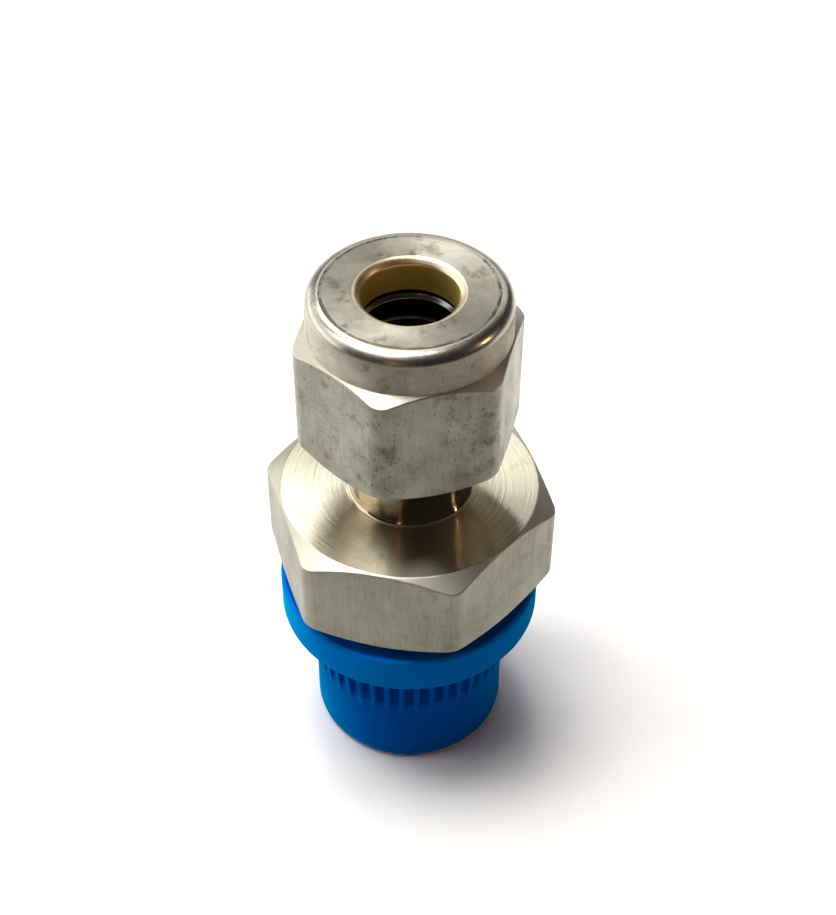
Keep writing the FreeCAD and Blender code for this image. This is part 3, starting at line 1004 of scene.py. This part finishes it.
@dataclass
class ThreadCap:
    """The cap: a cup around the pipe thread, a flange, and ribs that brace the flange.

    Pocket is how far below the flange the gaps between the ribs get painted shade, a darker copy of
    the plastic that stands in for the flange's shadow, and pocket reach how far out of the wall. Rim
    is the width of the flange's edge that gets painted light, a lighter copy of the plastic.
    """

    top: float
    flange: float
    cup: float = 7.3785
    bore: float = 6.6585
    floor: float = 1.5
    flange_thickness: float = 3.12
    foot_reach: float = 0.95
    mouth_chamfer: float = 0.35
    rib_count: int = 42
    rib_width: float = 0.42
    rib_base_share: float = 1.15
    rib_side_share: float = 0.3
    rib_height: float = 6.1
    rib_reach: float = 0.72
    rib_rows: int = 14
    pocket: float = 5.0
    pocket_reach: float = 0.12
    rim: float = 0.7

    def angles(self) -> np.ndarray:
        """Angles of the columns: ten for each rib and the gap after it, close together at the
        rib's sides.

        Returns:
            The angles, in radians.
        """
        half = self.rib_width / 2
        middle = self.cup + self.rib_reach / 2
        places = np.array([-1.22, -1.04, -0.86, -0.4, 0.4, 0.86, 1.04, 1.22]) * half / middle
        step = TAU / self.rib_count
        gaps = np.array([0.42, 0.58]) * step
        sector = np.concatenate([places, gaps])
        return (np.arange(self.rib_count)[:, None] * step + sector[None, :]).ravel()

    def rib(self, angles: np.ndarray, heights: np.ndarray) -> np.ndarray:
        """How far the ribs stand out of the cup's wall.

        Around the cup it is a flat-topped wave. Its sides are smooth steps that reach the wall at
        the base share of half a rib's width from the rib's middle, and the side share of that half
        is how wide they are. Up the wall it grows in line from the ribs' lower ends to the flange.

        Args:
            angles: angle of each column of points, in radians.
            heights: height of each point, in millimetres.

        Returns:
            The reach of each point past the wall, in millimetres.
        """
        step = TAU / self.rib_count
        off = np.abs((angles + step / 2) % step - step / 2) * (self.cup + self.rib_reach / 2)
        half = self.rib_width / 2
        side = np.clip((self.rib_base_share * half - off) / (self.rib_side_share * half), 0, 1)
        flange_bottom = self.top - self.flange_thickness
        rise = np.clip((heights - flange_bottom + self.rib_height) / self.rib_height, 0, 1)
        under = heights < flange_bottom
        return np.where(under, self.rib_reach * rise * side * side * (3 - 2 * side), 0)

    def build(self) -> bpy.types.Object:
        """Make the cap's surface and dress it.

        Returns:
            The finished piece.
        """
        angles = self.angles()
        flange_bottom = self.top - self.flange_thickness
        rib_foot = flange_bottom - self.rib_height
        rows = carry(
            [
                Corner(0.0, 0.0),
                Corner(self.cup, 0.0, soft=self.foot_reach),
                Corner(self.cup, rib_foot, soft=0.3, rows=self.rib_rows),
                Corner(self.cup, flange_bottom, soft=0.03),
                Corner(self.flange, flange_bottom, soft=0.22),
                Corner(self.flange, self.top, soft=0.25),
                Corner(self.bore + self.mouth_chamfer, self.top, soft=0.06),
                Corner(self.bore, self.top - self.mouth_chamfer, soft=0.06),
                Corner(self.bore, self.floor, soft=0.4),
                Corner(0.0, self.floor),
            ],
            angles,
            closed=False,
        )
        wall = np.abs(rows[..., 0] - self.cup) < SAME
        rows[..., 0] += np.where(wall, self.rib(angles, rows[..., 1]), 0)
        piece = lathe("push_cap", rows, angles, closed=False)
        radius, height, _ = face_places(piece.data)
        # Painted shade in the gaps between the ribs under the flange, and painted light on the flange's edge.
        by_wall = (radius > self.cup - NEAR) & (radius < self.cup + self.pocket_reach)
        in_pocket_shade = by_wall & (height < flange_bottom) & (height > flange_bottom - self.pocket)
        on_lit_flange = (height > flange_bottom + CLOSE) & (radius > self.flange - self.rim)
        paint(piece, [BLUE_CAP, POCKET_SHADE_BLUE, LIT_RIM_BLUE], np.select([in_pocket_shade, on_lit_flange], [1, 2]))
        return piece


# Stage


@dataclass(frozen=True)
class Viewpoint:
    """The camera. Place in millimetres, turns in degrees: heading is from +Y towards +X."""

    place: tuple[float, float, float] = (-25.222, -80.937, 108.109)
    heading: float = 17.719
    pitch: float = -43.984
    roll: float = 0.383
    lens: float = 64.53

    def build(self) -> None:
        """Make the camera and set it as the scene's."""
        heading, pitch, roll = (math.radians(turn) for turn in (self.heading, self.pitch, self.roll))
        ahead = Vector((
            math.sin(heading) * math.cos(pitch),
            math.cos(heading) * math.cos(pitch),
            math.sin(pitch),
        ))
        level = Vector((math.cos(heading), -math.sin(heading), 0))
        upright = level.cross(ahead)
        right = math.cos(roll) * level + math.sin(roll) * upright
        above = math.cos(roll) * upright - math.sin(roll) * level
        data = bpy.data.cameras.new("camera")
        data.lens = self.lens
        data.clip_start = 1 * MM
        camera = bpy.data.objects.new("camera", data)
        turned = Matrix((right, above, -ahead)).transposed().to_4x4()
        camera.matrix_world = Matrix.Translation(Vector(self.place) * MM) @ turned
        bpy.context.scene.collection.objects.link(camera)
        bpy.context.scene.camera = camera


@dataclass(frozen=True)
class Lamp:
    """A soft lamp that faces the object.

    Azimuth and elevation, in degrees, give the direction in which it hangs, and distance, width
    and height are in millimetres. The level is what it shows in a mirror, where 1 is white.
    """

    name: str
    azimuth: float
    elevation: float
    distance: float
    width: float
    height: float
    level: float
    colour: tuple[float, float, float] = (1.0, 1.0, 1.0)

    def build(self) -> None:
        """Make the lamp. Its power is pi times its level and its area."""
        azimuth, elevation = math.radians(self.azimuth), math.radians(self.elevation)
        towards = Vector((
            math.cos(azimuth) * math.cos(elevation),
            math.sin(azimuth) * math.cos(elevation),
            math.sin(elevation),
        ))
        data = bpy.data.lights.new(self.name, "AREA")
        data.shape = "RECTANGLE"
        data.size = self.width * MM
        data.size_y = self.height * MM
        data.energy = math.pi * self.level * data.size * data.size_y
        data.color = self.colour
        lamp = bpy.data.objects.new(self.name, data)
        lamp.location = towards * self.distance * MM + Vector(LAMP_AIM) * MM
        lamp.rotation_euler = (-towards).to_track_quat("-Z", "Y").to_euler()
        bpy.context.scene.collection.objects.link(lamp)


@dataclass(frozen=True)
class Stage:
    """A white table with light from the upper left and from behind.

    The gain is how much brighter than its own shading the eye sees the table, so that it turns
    white around the object's shadow. Away is the direction from the photographer along the table,
    and the paper turns from near to far over the crossing and fades into the surround over the
    fade, both in metres. Front and back are the surround's levels behind the photographer and
    behind the object.
    """

    side: float = 1600.0
    away: tuple[float, float, float] = (0.298, 0.954, 0.0)
    shaded_near_paper: float = 0.40
    far_paper: float = 0.90
    gain: float = 1.14
    tint: tuple[float, float, float] = (1.0, 0.985, 0.955)
    crossing: tuple[float, float] = (-0.04, 0.06)
    fade: tuple[float, float] = (0.12, 0.30)
    front: float = 0.016
    back: float = 0.032
    lamps: tuple[Lamp, ...] = (
        Lamp("ceiling_left", 153.4, 71.5, 620.0, 190.0, 190.0, 12.6),
        Lamp("ceiling_right", 90.0, 81.5, 620.0, 190.0, 190.0, 12.5),
        Lamp("ceiling_front", 208.0, 71.0, 620.0, 170.0, 150.0, 3.4),
        Lamp("ceiling_far", 157.0, 53.0, 620.0, 300.0, 260.0, 2.3),
        Lamp("back_high", 91.0, 51.0, 560.0, 290.0, 190.0, 3.2),
        Lamp("back_low", 62.0, 34.0, 560.0, 420.0, 190.0, 0.9),
        Lamp("left_low", 144.0, 12.0, 560.0, 820.0, 190.0, 2.3),
        Lamp("left_middle", 140.0, 33.0, 560.0, 750.0, 190.0, 1.05),
        Lamp("right_bulb", -23.0, 24.0, 500.0, 18.0, 44.0, 70.0, (1.0, 0.70, 0.42)),
        Lamp("warm_patch", 236.0, 22.0, 300.0, 30.0, 90.0, 1.6, (1.0, 0.42, 0.2)),
    )

    def _paper(self) -> bpy.types.Material:
        """White paper. Towards the photographer it is darker for all but the eye, which sees it evenly
        bright: painted shade that stands in for the photographer's shadow. It fades into the white
        surround before its edge.

        Returns:
            The table's material.
        """
        shader = Shader(bpy.data.materials.new("table_paper"))
        eye, mirrored = shader.rays()
        farness = shader.dot(shader.place(), self.away).rise(*self.crossing)
        seen = eye + mirrored * farness
        # Painted shade: the paper is darker towards the photographer, for the shade that the photographer
        # casts.
        tone = farness * (self.far_paper - self.shaded_near_paper) + self.shaded_near_paper
        grey = shader.add("ShaderNodeCombineColor", None, {0: tone, 1: tone, 2: tone})
        fibres = shader.noise(shader.place(), 900.0, 6.0, 0.75) * 0.24 + 0.88
        shown = [fibres * self.gain * tint for tint in self.tint]
        white = shader.add("ShaderNodeCombineColor", None, dict(enumerate(shown)))
        colour = shader.mixed(seen, grey, white)
        faded = shader.off_axis(shader.place()).rise(*self.fade) * seen
        paper = shader.add("ShaderNodeBsdfDiffuse", None, {"Color": colour})
        beyond = shader.add("ShaderNodeEmission", None, {"Color": WHITE, "Strength": 1.0})
        surface = shader.add("ShaderNodeMixShader", None, {0: faded, 1: paper, 2: beyond})
        shader.end_with(surface, "ShaderNodeOutputMaterial")
        return shader.owner

    def _world(self) -> None:
        """A surround that is white to the eye, and in a mirror white low down behind the object.
        Elsewhere it is dim, and dimmer behind the photographer.
        """
        world = bpy.data.worlds.new("surround")
        shader = Shader(world)
        eye, mirrored = shader.rays()
        direction = shader.add("ShaderNodeTexCoord", output="Generated")
        ahead = shader.dot(direction, self.away)
        dim = ahead.rise(-0.1, 0.8) * (self.back - self.front) + self.front
        low = 1 - shader.dot(direction, (0.0, 0.0, 1.0)).rise(0.10, 0.30)
        seen = eye + mirrored * ahead.rise(0.80, 0.98) * low
        strength = seen * (1 - dim) + dim
        shown = shader.add("ShaderNodeBackground", None, {"Color": WHITE, "Strength": strength})
        shader.end_with(shown, "ShaderNodeOutputWorld")
        bpy.context.scene.world = world

    def build(self) -> None:
        """Make the table, the surround and the lamps."""
        half = self.side / 2 * MM
        mesh = bpy.data.meshes.new("table")
        corners = [(-half, -half, 0), (half, -half, 0), (half, half, 0), (-half, half, 0)]
        mesh.from_pydata(corners, [], [(0, 1, 2, 3)])
        mesh.materials.append(self._paper())
        table = bpy.data.objects.new("table", mesh)
        bpy.context.scene.collection.objects.link(table)
        self._world()
        for lamp in self.lamps:
            lamp.build()


def seat(piece: bpy.types.Object, body: str, node: str) -> None:
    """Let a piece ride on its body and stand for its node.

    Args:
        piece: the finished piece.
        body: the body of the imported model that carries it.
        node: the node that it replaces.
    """
    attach(piece, body)
    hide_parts(node)
    LOG.info("%s stands for %s: %d faces", piece.name, node, len(piece.data.polygons))


def levels(node: str) -> tuple[float, float]:
    """Lowest and highest point of a node, in millimetres."""
    low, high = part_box(node)
    return low.z / MM, high.z / MM


def main() -> None:
    """Build the object around the frame, and the stage around the object."""
    logging.basicConfig(level=logging.INFO, format="%(name)s: %(message)s")
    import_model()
    bpy.context.scene.view_settings.view_transform = "Standard"
    body = FittingBody(levels("fitting_body")[0])
    seat(body.build(), "fitting", "fitting_body")
    seat(Nut(*levels("nut")).build(), "nut", "nut")
    seat(FrontFerrule(*levels("front_ferrule")).build(), "ferrules", "front_ferrule")
    seat(BackFerrule(*levels("back_ferrule")).build(), "ferrules", "back_ferrule")
    cap_low, cap_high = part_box("thread_cap")
    cap = ThreadCap(cap_high.z / MM, (cap_high.x - cap_low.x) / 2 / MM)
    seat(cap.build(), "cap", "thread_cap")
    Viewpoint().build()
    Stage().build()


if __name__ == "__main__":
    main()
